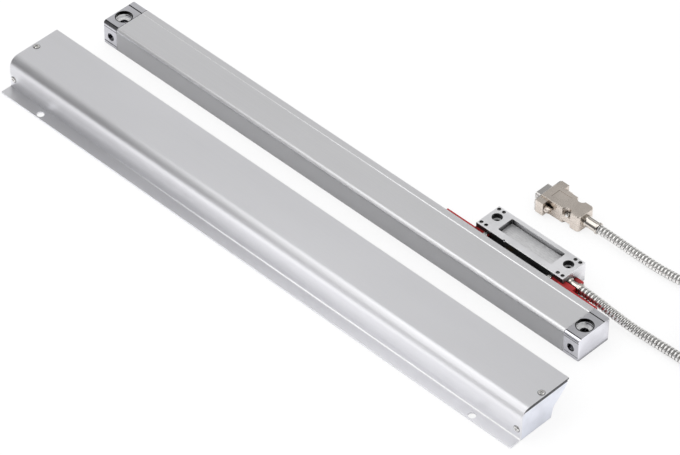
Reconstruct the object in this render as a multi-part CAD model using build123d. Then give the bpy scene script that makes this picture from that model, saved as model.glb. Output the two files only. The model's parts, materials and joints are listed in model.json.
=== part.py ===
from build123d import *
import math
import os

# Enclosed linear glass scale with its reading head, armoured lead and protective cover.
# X runs along the scale, +Y towards the reading head, +Z up; millimetres.
# The origin is the middle of the housing's flat mounting face.

# Scale housing
scale_length = 527.0
cap_length = 15.5
gasket_thickness = 0.5
housing_height = 22.5
near_side = 17.5
far_side_bottom = 17.0
far_side_top = 18.0
near_fillet = 3.5
far_fillet = 0.8
foot_chamfer = 0.5
wall = 2.5
roof = 2.8
lip_wall = 4.0
cavity_corner = 0.8
top_line_y = 11.5
top_line_width = 0.9
top_line_depth = 0.3

# Slot and its lip seals
slot_mid = 11.5
slot_height = 6.0
lip_gap = 2.2
lip_thickness = 1.3
lip_lean = 0.5
seal_root_width = 2.4
seal_root_depth = 2.0
seal_fit = 0.1

# Glass and its bed
glass_width = 14.0
glass_thickness = 3.0
glass_bottom = 6.0
glass_edge_gap = 0.2
bond_thickness = 0.5
bond_width = 3.0
rib_thickness = 1.2
rib_reach = 4.0
end_room = 1.0
carriage_side_gap = 0.8

# End caps
cap_bore_radius = 3.5
cap_counterbore_radius = 6.8
cap_counterbore_depth = 6.0
cap_bore_inset = 8.35
cap_bore_y = -1.8
cap_side_hole_radius = 3.6
cap_side_hole_depth = 7.0
cap_side_hole_z = 9.6
cap_corner_radius = 1.6
cap_step_height = 3.0
cap_step_depth = 0.35
cap_step_top_gap = 0.5
tongue_length = 10.0
tongue_fit = 0.2
tongue_near = 10.2
cap_screw_radius = 1.5
cap_screw_head_radius = 2.7
cap_screw_reach = 9.0
cap_screw_y = 6.0
cap_screw_sink = 0.05
cap_screw_slot = 0.7
cap_screw_slot_depth = 0.8
blind_room = 0.5
gasket_inset = 0.4
thread_gap = 0.05

# Reading head
head_centre = 164.7
head_length = 91.0
head_width = 26.4
head_near = 22.5
head_bottom = 4.6
head_top = 23.75
head_wall = 2.5
head_edge_chamfer = 0.4
cover_plate_thickness = 1.5
head_hole_spacing = 75.2
head_hole_offset_y = 15.6
head_hole_radius = 2.75
head_counterbore_radius = 4.5
head_counterbore_depth = 5.0
pocket_length = 56.0
pocket_width = 16.5
pocket_near_offset = 6.0
pocket_depth = 5.0
pocket_floor = 2.0
pocket_corner = 1.0
label_thickness = 0.4
label_margin = 0.5
small_screw_radius = 1.6
small_screw_shank = 0.9
small_screw_sink = 1.6
small_screw_head = 1.3
small_screw_key = 0.8
small_screw_end = 0.2
small_screw_inset_x = (2.8, 7.8)
small_screw_inset_y = 3.0
nick_radius = 0.9
nick_offset = -16.1
nick_depth = 1.5

# Blade, clamp and board in the head
blade_length = 60.0
blade_end_room = 1.0
blade_notch = 4.0
blade_slit = 0.2
lug_height = 3.5
lug_depth = 1.8
wire_height = 2.0
blade_thickness = 1.0
blade_inner_y = 11.0
ledge_depth = 4.0
ledge_height = 3.0
clamp_height = 3.0
clamp_screw_radius = 1.0
clamp_screw_inset = 8.0
clamp_screw_head_radius = 1.8
clamp_screw_head = 1.0
clamp_screw_end = 0.7
clamp_hole_floor = 0.5
ribbon_width = 6.0
ribbon_thickness = 0.3
ribbon_notch = 0.5
ribbon_drop_gap = 0.5
ribbon_overlap = 2.0
board_thickness = 1.2
board_end_room = 5.0
board_gap = 1.0
post_radius = 2.0
post_edge = 2.6
post_root = 0.5
post_inset_near = 18.0
post_inset_far = 3.0
board_screw_radius = 0.8
board_screw_grip = 1.8
board_screw_room = 0.2
board_screw_head_radius = 1.6
board_screw_head = 0.9
chip_length = 8.0
chip_width = 5.0
chip_height = 1.2
chip_inset = 8.0
chip_edge = 4.0
connector_length = 6.0
connector_width = 4.8
connector_shift = 1.2
connector_gap = 0.2
inner_lead_radius = 1.4
lead_fit = 0.4

# Carriage
carriage_length = 68.0
carriage_far = 10.0
carriage_height = 7.0
carriage_lift = 1.0
roller_radius = 2.5
roller_width = 2.0
roller_gap = 0.05
axle_radius = 0.75
axle_fit = 0.05
axle_grip = 2.0
axle_shoulder = 0.6
axle_head = 0.5
axle_socket = 3.0
roller_edge = 0.2
roller_room = 0.5
pocket_fit = 0.3
carriage_edge = 1.0
ear_lift = 0.6
face_rollers = ((-24.0, -3.0), (24.0, -3.0), (0.0, -8.8))
edge_roller_x = (-26.0, 26.0)
window_length = 14.0
window_width = 6.0
window_y = -5.2
window_x = -14.0
reticle_thickness = 1.0
reticle_gap = 0.3
lamp_width = 16.0
lamp_wall = 1.5
lamp_arm = 1.0
lamp_lift = 0.5
lamp_gap = 1.5
lamp_board_inset = 1.0
lamp_board_edge = 0.2
lamp_board_thickness = 0.6
lens_radius = 2.6
lens_height = 1.1
lens_edge = 0.6
photo_board_thickness = 0.8
photo_board_ends = 2.0
photo_board_near = 1.5
photo_board_far = 3.0
photo_array_ends = 1.0
photo_array_sides = 0.5
photo_array_height = 5.2
wire_radius = 0.4
wire_y = 11.9
lug_width = 3.0

# Transport brackets
bracket_clearance = 0.4
bracket_block_length = 14.0
bracket_block_top = 19.5
bracket_block_bottom = 6.0
bracket_leg_thickness = 1.5
bracket_leg_bottom = 11.0
bracket_leg_top = 21.6
left_leg_length = 28.0
right_leg_length = 38.5
shelf_thickness = 1.5
shelf_reach = 10.5
fork_near_length = 10.5
fork_far_length = 7.5
fork_arm = 3.8
fork_bottom = 11.0
fork_top = 14.5
fork_plate = 2.0
fork_clearance = 0.4
fork_step = 0.5
fork_arm_bottom = 8.0
bracket_screw_radius = 1.3
bracket_screw_head = 1.9
bracket_screw_head_height = 1.2
bracket_screw_length = 7.0
bracket_screw_inset = 2.2
bracket_slot = 0.4
bracket_slot_depth = 0.6
leg_overlap = 2.0
shelf_run = 22.0

# Gland
gland_y = 30.9
gland_z = 15.1
gland_flange_radius = 4.2
gland_flange = 1.2
gland_radius = 3.0
gland_length = 9.0
gland_tail = 4.0
gland_tail_wall = 0.35
gland_step = 0.8
gland_edge = 0.3
gland_collar_radius = 4.6
gland_collar_length = 3.5
collar_groove = 0.5
collar_edge = 0.4

# Lead
hose_diameter = 8.0
coil_edge_share = 0.7
coil_centre = (362.0, 99.5)
coil_outer_turn = 62.0
coil_inner_turn = 34.0
coil_lift = 0.8
coil_layers = 2
tie_width = 5.0
tie_thickness = 0.8
tie_slack = 0.2
tie_head_length = 7.0
tie_head_height = 3.0
tie_head_inset = 5.0
tie_head_overhang = 1.0
bend_share = 0.45
last_turn = 230.0
lead_out_points = (
    (222.7, 30.9, 15.1),
    (234.0, 30.9, 15.1),
    (254.0, 32.0, 11.0),
    (272.0, 34.4, 6.4),
    (292.0, 36.8, 4.2),
    (318.0, 37.7, 4.3),
    (345.0, 37.5, 4.8),
)
lead_back_points = (
    (304.2, 127.1, 12.8),
    (290.0, 110.2, 9.5),
    (270.0, 101.6, 5.4),
    (246.0, 99.9, 4.1),
    (217.0, 99.6, 4.6),
    (197.0, 97.6, 7.8),
    (182.0, 97.6, 7.8),
)

# Plug
plug_y = 97.6
plug_front = 127.0
hood_length = 41.0
hood_width = 18.6
hood_height = 15.6
hood_corner = 3.0
hood_edge = 0.6
hood_wall = 2.0
hood_back_wall = 3.0
hood_hollow = 16.0
hood_channel = 7.2
flange_width = 30.8
flange_height = 12.5
flange_thickness = 1.0
flange_corner = 1.5
shell_length = 6.0
shell_width = 17.0
shell_height = 8.4
shell_slant = 10.0
shell_corner = 2.2
shell_skin = 0.5
pin_radius = 0.5
pin_pitch = 2.77
pin_row = 1.42
pin_depth = 1.0
pin_recess = 0.4
pin_tail = 8.0
insulator_fit = 0.1
insulator_depth = 5.0
jack_spacing = 25.0
jack_radius = 1.4
jack_fit = 0.08
jack_head_radius = 2.7
jack_head_length = 5.0
jack_shank_radius = 1.15
jack_tip = 2.0
jack_tip_gap = 0.1
jack_slot = 0.8
jack_slot_depth = 1.5
jack_edge = 0.4
flange_hole_fit = 0.2
ear_depth = 7.8
recess_x = 28.0
recess_shift = 0.4
recess_radius = 4.2
recess_floor = 9.4
nut_recess = 3.6
hood_screw_head_radius = 2.0
hood_screw_head = 2.0
hood_screw_radius = 1.1
hood_screw_inset = 1.6
hood_screw_end = 0.3
hood_screw_cross = 0.6
hood_screw_cross_reach = 1.2
hood_screw_cross_depth = 0.8
ferrule_radius = 4.3
ferrule_length = 14.0
ferrule_bead = 0.7
ferrule_spigot = 3.4
ferrule_spigot_length = 4.0
ferrule_bore = 2.2
ferrule_bead_length = 1.5
ferrule_collar = 0.5
ferrule_collar_length = 1.8
panel_length = 13.0
panel_width = 9.5
panel_depth = 0.3
panel_start = 8.0

# Protective cover
cover_length = 564.5
cover_centre_x = 6.5
cover_wall_y = -109.7
cover_width = 52.4
cover_height = 30.0
cover_sheet = 1.5
cover_bend = 9.0
cover_foot_bend = 1.8
cover_flange = 10.8
cover_hole_spacing = 478.8
cover_hole_radius = 3.3
cover_hole_inset = 4.1
end_plate_thickness = 8.0
end_plate_foot = 34.0
end_plate_lip = 2.5
end_plate_lift = 0.3
end_plate_edge = 1.5
end_plate_nose = 4.0
heel_rise = 8.0
heel_run = 9.0
heel_top = 16.0
heel_radius = 6.0
hollow_radius = 14.0
cover_screw_radius = 1.5
cover_screw_head_radius = 2.5
cover_screw_head = 0.9
cover_screw_reach = 7.0
cover_screw_top_y = 26.2
cover_screw_side_z = 10.5
cover_screw_fit = 0.1
cover_screw_cross = 0.6
cover_screw_cross_reach = 1.4
cover_screw_cross_depth = 0.5

# Derived places
half_length = scale_length / 2
housing_end = half_length - cap_length - gasket_thickness
cavity_far = far_side_bottom - lip_wall
cavity_top = housing_height - roof
glass_top = glass_bottom + glass_thickness
glass_near = -near_side + wall + glass_edge_gap
glass_far = glass_near + glass_width
glass_half = housing_end - tongue_length - end_room
head_far = head_near + head_width
head_right = head_centre + head_length / 2
head_left = head_centre - head_length / 2
head_hole_y = head_near + head_hole_offset_y
pocket_near = head_near + pocket_near_offset
ceiling = head_top - pocket_depth - pocket_floor
blade_left = head_centre - blade_length / 2
blade_right = head_centre + blade_length / 2
head_cavity = blade_length / 2 + blade_end_room
board_half = head_cavity - board_end_room
blade_bottom = slot_mid - blade_thickness / 2
blade_top = slot_mid + blade_thickness / 2
ledge_far = head_near + head_wall + ledge_depth
board_bottom = blade_top + ribbon_thickness
board_top = board_bottom + board_thickness
board_near = ledge_far + board_gap
board_far = head_far - head_wall - board_gap
carriage_bottom = glass_top + carriage_lift
carriage_top = carriage_bottom + carriage_height
carriage_near = -near_side + wall + rib_reach + carriage_side_gap
face_axle_z = glass_top + roller_gap + roller_radius
edge_axle_y = glass_far + roller_gap + roller_radius
edge_roller_mid = glass_bottom + glass_thickness / 2
wire_z = blade_top + wire_height
lamp_floor = wall + lamp_lift + lamp_arm
gland_start = head_right
hose_radius = hose_diameter / 2
hose_start = gland_start + gland_length + gland_collar_length
coil_height = coil_layers * hose_diameter
plug_mid = hood_height / 2
plug_back = plug_front + hood_length
cover_left = cover_centre_x - cover_length / 2
cover_right = cover_centre_x + cover_length / 2

os.makedirs("parts", exist_ok=True)


def save(name, shape):
    export_step(shape, f"parts/{name}.step")


def block(x0, x1, y0, y1, z0, z1):
    middle = Pos((x0 + x1) / 2, (y0 + y1) / 2, (z0 + z1) / 2)
    return middle * Box(abs(x1 - x0), abs(y1 - y0), abs(z1 - z0))


def rod_x(x0, x1, y, z, radius):
    return Pos((x0 + x1) / 2, y, z) * Rot(0, 90, 0) * Cylinder(radius, abs(x1 - x0))


def rod_y(x, y0, y1, z, radius):
    return Pos(x, (y0 + y1) / 2, z) * Rot(90, 0, 0) * Cylinder(radius, abs(y1 - y0))


def rod_z(x, y, z0, z1, radius):
    return Pos(x, y, (z0 + z1) / 2) * Cylinder(radius, abs(z1 - z0))


def section(points):
    return make_face(Polyline(*points, close=True))


def along_x(face, x0, x1):
    return extrude(Plane.YZ.offset(x0) * face, x1 - x0)


def group(shapes):
    return Compound(children=list(shapes))


def cross(x, y, top, width, reach, depth):
    # Cross recess of a screw head, cut down from the height top.
    half = width / 2
    arm = block(x - reach, x + reach, y - half, y + half, top - depth, top + 1)
    return arm + block(x - half, x + half, y - reach, y + reach, top - depth, top + 1)


def outer_section():
    # Outline shared by the housing and its end caps, seen along +X.
    face = section([
        (-near_side, 0),
        (far_side_bottom, 0),
        (far_side_top, housing_height),
        (-near_side, housing_height),
    ])
    near_top = face.vertices().sort_by(Axis.Y)[-2:].sort_by(Axis.X)[0]
    face = fillet(near_top, near_fillet)
    far_top = face.vertices().sort_by(Axis.X)[-1]
    face = fillet(far_top, far_fillet)
    feet = face.vertices().sort_by(Axis.Y)[:2]
    face = chamfer(feet, foot_chamfer)
    groove = section([
        (top_line_y - top_line_width / 2, housing_height),
        (top_line_y + top_line_width / 2, housing_height),
        (top_line_y, housing_height - top_line_depth),
    ])
    return face - groove


def seal_groove(side):
    # Groove that holds the root of one lip seal, above or below the slot.
    edge = slot_mid + side * slot_height / 2
    depth = side * (seal_root_depth + seal_fit)
    y0 = cavity_far + (lip_wall - seal_root_width) / 2 - seal_fit
    y1 = y0 + seal_root_width + 2 * seal_fit
    return Pos((y0 + y1) / 2, edge + depth / 2) * Rectangle(y1 - y0, abs(depth))


def make_housing():
    face = outer_section()
    cavity = section([
        (-near_side + wall, wall),
        (cavity_far, wall),
        (cavity_far, cavity_top),
        (-near_side + wall, cavity_top),
    ])
    cavity = fillet(cavity.vertices(), cavity_corner)
    face -= cavity
    rib_far = -near_side + wall + rib_reach
    for z in (glass_bottom - bond_thickness - rib_thickness, glass_top + bond_thickness):
        rib = Pos((rib_far - near_side) / 2, z + rib_thickness / 2)
        face += rib * Rectangle(rib_far + near_side, rib_thickness)
    slot_reach = far_side_top - cavity_far + 2
    face -= Pos(cavity_far + slot_reach / 2 - 1, slot_mid) * Rectangle(slot_reach, slot_height)
    for side in (-1, 1):
        face -= seal_groove(side)
    body = along_x(face, -housing_end, housing_end)
    for x, y in cap_screw_places():
        body -= rod_z(x, y, -1, wall + 1, cap_screw_radius + thread_gap)
        body -= countersink(x, y, thread_gap)
    return body


def cap_screw_places():
    x = housing_end - tongue_length / 2
    return [(sx * x, sy * cap_screw_y) for sx in (-1, 1) for sy in (-1, 1)]


def countersink(x, y, grow):
    depth = cap_screw_head_radius - cap_screw_radius
    cone = Cone(cap_screw_head_radius + grow, cap_screw_radius + grow, depth)
    return Pos(x, y, depth / 2) * cone


def make_cap_screws():
    screws = []
    r = cap_screw_head_radius
    half_slot = cap_screw_slot / 2
    for x, y in cap_screw_places():
        screw = rod_z(x, y, cap_screw_sink, cap_screw_reach, cap_screw_radius)
        flat = block(x - r, x + r, y - r, y + r, -1, cap_screw_sink)
        screw += countersink(x, y, 0) - flat
        screw -= block(x - r, x + r, y - half_slot, y + half_slot, -1,
                       cap_screw_slot_depth)
        screws.append(screw)
    return group(screws)


def make_cap(side):
    # Solid end block with a tongue that fills the mouth of the housing.
    face = outer_section()
    inner = housing_end + gasket_thickness
    body = along_x(face, inner, half_length)
    plan = Pos(0, (far_side_top - near_side) / 2) * RectangleRounded(
        scale_length, near_side + far_side_top, cap_corner_radius)
    body &= extrude(plan, housing_height)
    body -= block(inner - 1, half_length + 1, -near_side - 1, -near_side + cap_step_depth,
                  cap_step_height, housing_height - near_fillet - cap_step_top_gap)
    tongue_top = cavity_top - tongue_fit
    tongue = block(housing_end - tongue_length, inner + 1, -tongue_near,
                   cavity_far - tongue_fit, wall + tongue_fit, tongue_top)
    body += chamfer(tongue.edges().filter_by(Axis.X), cavity_corner)
    bore_x = half_length - cap_bore_inset
    body -= rod_z(bore_x, cap_bore_y, -1, housing_height + 1, cap_bore_radius)
    body -= rod_z(bore_x, cap_bore_y, housing_height - cap_counterbore_depth,
                  housing_height + 1, cap_counterbore_radius)
    body -= rod_y(bore_x, -near_side - 1, -near_side + cap_step_depth + cap_side_hole_depth,
                  cap_side_hole_z, cap_side_hole_radius)
    for x, y in cap_screw_places():
        if x > 0:
            body -= rod_z(x, y, wall, cap_screw_reach + blind_room,
                          cap_screw_radius + thread_gap)
    return body if side > 0 else mirror(body, about=Plane.YZ)


def make_gasket(side):
    face = outer_section()
    face = offset(face, amount=-gasket_inset, kind=Kind.INTERSECTION)
    body = along_x(face, housing_end, housing_end + gasket_thickness)
    body -= block(housing_end - 1, housing_end + 2, -tongue_near - tongue_fit, cavity_far,
                  wall, housing_height - wall)
    return body if side > 0 else mirror(body, about=Plane.YZ)


def make_lip_seal(side):
    # Root strip in its groove, with a tapering lip that leans out towards the blade.
    edge = slot_mid + side * slot_height / 2
    tip = slot_mid + side * lip_gap / 2
    y0 = cavity_far + (lip_wall - seal_root_width) / 2
    y1 = y0 + seal_root_width
    root = edge + side * seal_root_depth
    face = section([
        (y0, root),
        (y1, root),
        (y1, edge),
        (y1 + lip_lean, tip),
        (y1 - seal_fit, tip),
        (y1 - lip_thickness, edge),
        (y0, edge),
    ])
    return along_x(face, -housing_end, housing_end)


def make_glass_bonds():
    near = glass_near
    lower = block(-glass_half, glass_half, near, near + bond_width,
                  glass_bottom - bond_thickness, glass_bottom)
    upper = block(-glass_half, glass_half, near, near + bond_width,
                  glass_top, glass_top + bond_thickness)
    return group([lower, upper])


def small_screw_places():
    places = []
    for inset in small_screw_inset_x:
        for x in (head_left + inset, head_right - inset):
            for y in (head_near + small_screw_inset_y, head_far - small_screw_inset_y):
                places.append((x, y))
    return places


def board_post_places():
    # The near pair stands further in, clear of the lead connector and the ribbon.
    rows = ((board_near + post_edge, board_half - post_inset_near),
            (board_far - post_edge, board_half - post_inset_far))
    return [(head_centre + s * reach, y) for s in (-1, 1) for y, reach in rows]


def clamp_screw_places():
    y = head_near + head_wall + ledge_depth / 2
    return [(blade_left + clamp_screw_inset, y), (blade_right - clamp_screw_inset, y)]


def make_head_block():
    body = block(head_left, head_right, head_near, head_far,
                 head_bottom + cover_plate_thickness, head_top)
    rim = body.faces().sort_by(Axis.Z)[-1].edges()
    body = chamfer(rim, head_edge_chamfer)
    body -= block(head_centre - head_cavity, head_centre + head_cavity,
                  head_near + head_wall, head_far - head_wall, head_bottom, ceiling)
    pocket = block(head_centre - pocket_length / 2, head_centre + pocket_length / 2,
                   pocket_near, pocket_near + pocket_width,
                   head_top - pocket_depth, head_top + 1)
    body -= fillet(pocket.edges().filter_by(Axis.Z), pocket_corner)
    # Ledge that the blade is clamped to, and the slit that the blade comes through.
    body += block(head_centre - head_cavity, head_centre + head_cavity,
                  head_near + head_wall / 2, ledge_far, blade_bottom - ledge_height,
                  blade_bottom)
    body -= block(blade_left - blade_slit, blade_right + blade_slit,
                  head_near - 1, head_near + head_wall + 0.1,
                  blade_bottom, blade_top + ribbon_thickness + blade_slit)
    for x, y in board_post_places():
        body += rod_z(x, y, board_top, ceiling + post_root, post_radius)
        body -= rod_z(x, y, board_bottom, board_top + board_screw_grip + board_screw_room,
                      board_screw_radius + thread_gap)
    for x, y in clamp_screw_places():
        body -= rod_z(x, y, blade_bottom - ledge_height + clamp_hole_floor,
                      blade_bottom + 1,
                      clamp_screw_radius + thread_gap)
    for side in (-1, 1):
        x = head_centre + side * head_hole_spacing / 2
        body -= rod_z(x, head_hole_y, 0, head_top + 1, head_hole_radius)
        body -= rod_z(x, head_hole_y, head_top - head_counterbore_depth, head_top + 1,
                      head_counterbore_radius)
    for x, y in small_screw_places():
        body -= rod_z(x, y, 0, head_top + 1, small_screw_shank + thread_gap)
        body -= rod_z(x, y, head_top - small_screw_sink - small_screw_head, head_top + 1,
                      small_screw_radius + thread_gap)
    body -= rod_x(head_centre + head_cavity - 1, head_right + 1, gland_y, gland_z,
                  inner_lead_radius + lead_fit)
    body -= rod_z(head_centre + nick_offset, head_near, head_top - nick_depth,
                  head_top + 1, nick_radius)
    return body


def make_head_cover():
    body = block(head_left, head_right, head_near, head_far,
                 head_bottom, head_bottom + cover_plate_thickness)
    body = chamfer(body.faces().sort_by(Axis.Z)[0].edges(), head_edge_chamfer)
    for side in (-1, 1):
        x = head_centre + side * head_hole_spacing / 2
        body -= rod_z(x, head_hole_y, 0, head_top, head_hole_radius)
    for x, y in small_screw_places():
        body -= rod_z(x, y, 0, head_top, small_screw_shank + thread_gap)
    return body


def make_head_screws():
    seat = head_top - small_screw_sink - small_screw_head
    screws = []
    for x, y in small_screw_places():
        screw = rod_z(x, y, head_bottom + small_screw_end, seat, small_screw_shank)
        screw += rod_z(x, y, seat, seat + small_screw_head, small_screw_radius)
        key = Pos(x, y, seat + small_screw_head / 2) * RegularPolygon(small_screw_key, 6)
        screw -= extrude(key, small_screw_head)
        screws.append(screw)
    return group(screws)


def make_label_plate():
    x0 = head_centre - pocket_length / 2 + label_margin
    y0 = pocket_near + label_margin
    floor = head_top - pocket_depth
    plate = block(x0, x0 + pocket_length - 2 * label_margin,
                  y0, y0 + pocket_width - 2 * label_margin,
                  floor, floor + label_thickness)
    return fillet(plate.edges().filter_by(Axis.Z), pocket_corner - 0.2)


def make_blade():
    # Thin steel fin through the lips, with an upright lug for the coupling wire.
    body = block(blade_left, blade_right, blade_inner_y, ledge_far, blade_bottom, blade_top)
    body -= [block(x - blade_notch, x + blade_notch, 0, blade_inner_y + blade_notch,
                   0, head_top) for x in (blade_left, blade_right)]
    x0 = blade_left + blade_notch
    lug = block(x0, x0 + lug_width, blade_inner_y, blade_inner_y + lug_depth, blade_top,
                blade_top + lug_height)
    lug -= rod_x(x0 - 1, x0 + lug_width + 1, wire_y, wire_z, wire_radius + thread_gap)
    body += lug
    for x, y in clamp_screw_places():
        body -= rod_z(x, y, 0, head_top, clamp_screw_radius + thread_gap)
    return body


def make_blade_clamp():
    body = block(blade_left, blade_right, head_near + head_wall, ledge_far,
                 blade_top, blade_top + clamp_height)
    reach = ribbon_width / 2 + ribbon_thickness
    body -= block(ribbon_x() - reach, ribbon_x() + reach, 0, head_far, blade_top,
                  blade_top + ribbon_notch)
    for x, y in clamp_screw_places():
        body -= rod_z(x, y, 0, head_top, clamp_screw_radius + thread_gap)
    return body


def make_clamp_screws():
    screws = []
    for x, y in clamp_screw_places():
        top = blade_top + clamp_height
        screw = rod_z(x, y, blade_bottom - ledge_height + clamp_screw_end, top,
                      clamp_screw_radius)
        screw += rod_z(x, y, top, top + clamp_screw_head, clamp_screw_head_radius)
        screws.append(screw)
    return group(screws)


def make_board():
    x0 = head_centre - board_half
    body = block(x0, x0 + 2 * board_half, board_near, board_far, board_bottom, board_top)
    for x, y in board_post_places():
        body -= rod_z(x, y, 0, head_top, board_screw_radius + thread_gap)
    chip = block(x0 + chip_inset, x0 + chip_inset + chip_length,
                 board_far - chip_edge - chip_width, board_far - chip_edge,
                 board_top, board_top + chip_height)
    return body + chip


def make_board_screws():
    screws = []
    for x, y in board_post_places():
        screw = rod_z(x, y, board_bottom, board_top + board_screw_grip,
                      board_screw_radius)
        screws.append(screw + rod_z(x, y, board_bottom - board_screw_head, board_bottom,
                                    board_screw_head_radius))
    return group(screws)


def make_connector():
    x1 = head_centre + board_half
    middle = gland_y + connector_shift
    body = block(x1 - connector_length, x1, middle - connector_width / 2,
                 middle + connector_width / 2, board_top, ceiling - connector_gap)
    return body, x1


def ribbon_x():
    return head_centre + window_x


def make_ribbon():
    # Flat signal cable: off the carriage, down, and along the blade into the head.
    t = ribbon_thickness
    top = carriage_top
    step = carriage_far + ribbon_drop_gap
    board_edge = window_y + window_width / 2 + photo_board_far
    end = board_near + ribbon_overlap
    face = section([
        (board_edge, top + t),
        (board_edge, top),
        (step, top),
        (step, blade_top),
        (end, blade_top),
        (end, blade_top + t),
        (step + t, blade_top + t),
        (step + t, top + t),
    ])
    return along_x(face, ribbon_x() - ribbon_width / 2, ribbon_x() + ribbon_width / 2)


def face_roller_places():
    return [(head_centre + x, y) for x, y in face_rollers]


def make_carriage():
    body = block(head_centre - carriage_length / 2, head_centre + carriage_length / 2,
                 carriage_near, carriage_far, carriage_bottom, carriage_top)
    body = chamfer(body.faces().sort_by(Axis.Z)[-1].edges().filter_by(Axis.X),
                   carriage_edge)
    side = roller_radius + roller_room
    for x, y in face_roller_places():
        y0 = y - roller_width / 2 - pocket_fit
        body -= block(x - side, x + side, y0, y0 + roller_width + 2 * pocket_fit,
                      carriage_bottom - 1, face_axle_z + side)
        body -= rod_y(x, y0 - axle_grip, y0 + roller_width + 2 * pocket_fit + axle_grip,
                      face_axle_z, axle_radius)
    for dx in edge_roller_x:
        x = head_centre + dx
        shoulder = edge_roller_mid + roller_width / 2 + pocket_fit
        body += rod_z(x, edge_axle_y, shoulder, carriage_bottom,
                      axle_radius + axle_shoulder)
        body -= rod_z(x, edge_axle_y, 0, carriage_bottom + axle_socket, axle_radius)
    wx = head_centre + window_x
    body -= block(wx - window_length / 2, wx + window_length / 2,
                  window_y - window_width / 2, window_y + window_width / 2,
                  0, carriage_top + 1)
    # Ear that holds the far end of the coupling wire.
    x1 = head_centre + carriage_length / 2
    ear = block(x1 - lug_width, x1, carriage_far - 1, wire_y + 1, blade_top + ear_lift,
                blade_top + lug_height)
    ear -= rod_x(x1 - lug_width - 1, x1 + 1, wire_y, wire_z, wire_radius + thread_gap)
    return body + ear


def make_axles():
    axles = []
    for x, y in face_roller_places():
        reach = roller_width / 2 + pocket_fit + axle_grip
        axles.append(rod_y(x, y - reach, y + reach, face_axle_z, axle_radius))
    for dx in edge_roller_x:
        x = head_centre + dx
        low = edge_roller_mid - roller_width / 2 - pocket_fit
        pin = rod_z(x, edge_axle_y, low, carriage_bottom + axle_socket, axle_radius)
        pin += rod_z(x, edge_axle_y, low - axle_head, low, axle_radius + axle_shoulder)
        axles.append(pin)
    return group(axles)


def roller(place):
    ring = Cylinder(roller_radius, roller_width)
    ring = fillet(ring.edges().filter_by(GeomType.CIRCLE), roller_edge)
    ring -= Cylinder(axle_radius + axle_fit, roller_width + 1)
    return place * ring


def make_lamp_bracket():
    x0 = head_centre + window_x - lamp_width / 2
    x1 = x0 + lamp_width
    arm_bottom = wall + lamp_lift
    post_near = glass_far + lamp_gap
    arm = block(x0, x1, window_y - window_width / 2, post_near + lamp_wall,
                arm_bottom, lamp_floor)
    post = block(x0, x1, post_near, post_near + lamp_wall, arm_bottom, carriage_bottom)
    return arm + post


def make_lamp_board():
    x = head_centre + window_x
    reach = lamp_width / 2 - lamp_board_inset
    return block(x - reach, x + reach, window_y - window_width / 2 + lamp_board_edge,
                 window_y + window_width / 2, lamp_floor,
                 lamp_floor + lamp_board_thickness)


def make_lens():
    x = head_centre + window_x
    z0 = lamp_floor + lamp_board_thickness
    foot = Pos(x, window_y, z0 + lens_height / 2) * Cylinder(lens_radius, lens_height)
    return fillet(foot.edges().group_by(Axis.Z)[-1], lens_edge)


def make_reticle():
    x = head_centre + window_x
    z0 = glass_top + reticle_gap
    return block(x - window_length / 2, x + window_length / 2,
                 window_y - window_width / 2, window_y + window_width / 2,
                 z0, z0 + reticle_thickness)


def make_photo_board():
    x = head_centre + window_x
    reach = window_length / 2 + photo_board_ends
    return block(x - reach, x + reach, window_y - window_width / 2 - photo_board_near,
                 window_y + window_width / 2 + photo_board_far,
                 carriage_top, carriage_top + photo_board_thickness)


def make_photo_array():
    x = head_centre + window_x
    reach_x = window_length / 2 - photo_array_ends
    reach_y = window_width / 2 - photo_array_sides
    return block(x - reach_x, x + reach_x, window_y - reach_y, window_y + reach_y,
                 carriage_top - photo_array_height, carriage_top)


def make_coupling_wire():
    return rod_x(blade_left + blade_notch, head_centre + carriage_length / 2,
                 wire_y, wire_z, wire_radius)


def bracket_screw_places():
    inner = head_length / 2 - bracket_block_length + bracket_screw_inset
    return [(head_centre + s * inner, (leg_near() + head_near) / 2) for s in (-1, 1)]


def leg_near():
    return far_side_top + bracket_clearance


def make_bracket(side):
    # Plastic spacer between head and housing, with a long leg against the housing.
    end = head_right if side > 0 else head_left
    leg = right_leg_length if side > 0 else left_leg_length
    body = block(end - side * bracket_block_length, end, leg_near(), head_near,
                 bracket_block_bottom, bracket_block_top)
    outer = end + side * leg
    body += block(end - side * leg_overlap, outer, leg_near(),
                  leg_near() + bracket_leg_thickness,
                  bracket_leg_bottom, bracket_leg_top)
    body += block(end, end + side * fork_plate, leg_near(), head_near + 2,
                  bracket_block_bottom, fork_bottom)
    if side > 0:
        body += block(end, end + fork_plate, leg_near(), gland_y + gland_flange_radius
                      + fork_clearance + fork_arm, bracket_block_bottom,
                      fork_bottom - fork_step)
        reach = gland_flange_radius + fork_clearance
        near_top = bracket_block_top - fork_step
        body += block(end, end + fork_near_length, head_near - fork_step, gland_y - reach,
                      fork_arm_bottom, near_top)
        body += block(end, end + fork_far_length, gland_y + reach,
                      gland_y + reach + fork_arm, fork_arm_bottom, fork_top)
        shelf = section([
            (end + fork_plate - 1, leg_near()),
            (outer, leg_near()),
            (outer, leg_near() + bracket_leg_thickness),
            (end + shelf_run, leg_near() + shelf_reach),
            (end + fork_plate - 1, leg_near() + shelf_reach),
        ])
        body += extrude(Pos(0, 0, bracket_leg_bottom) * shelf, -shelf_thickness)
    for x, y in bracket_screw_places():
        body -= rod_z(x, y, bracket_block_top - bracket_screw_length - blind_room,
                      head_top, bracket_screw_radius + thread_gap)
    return body


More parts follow.
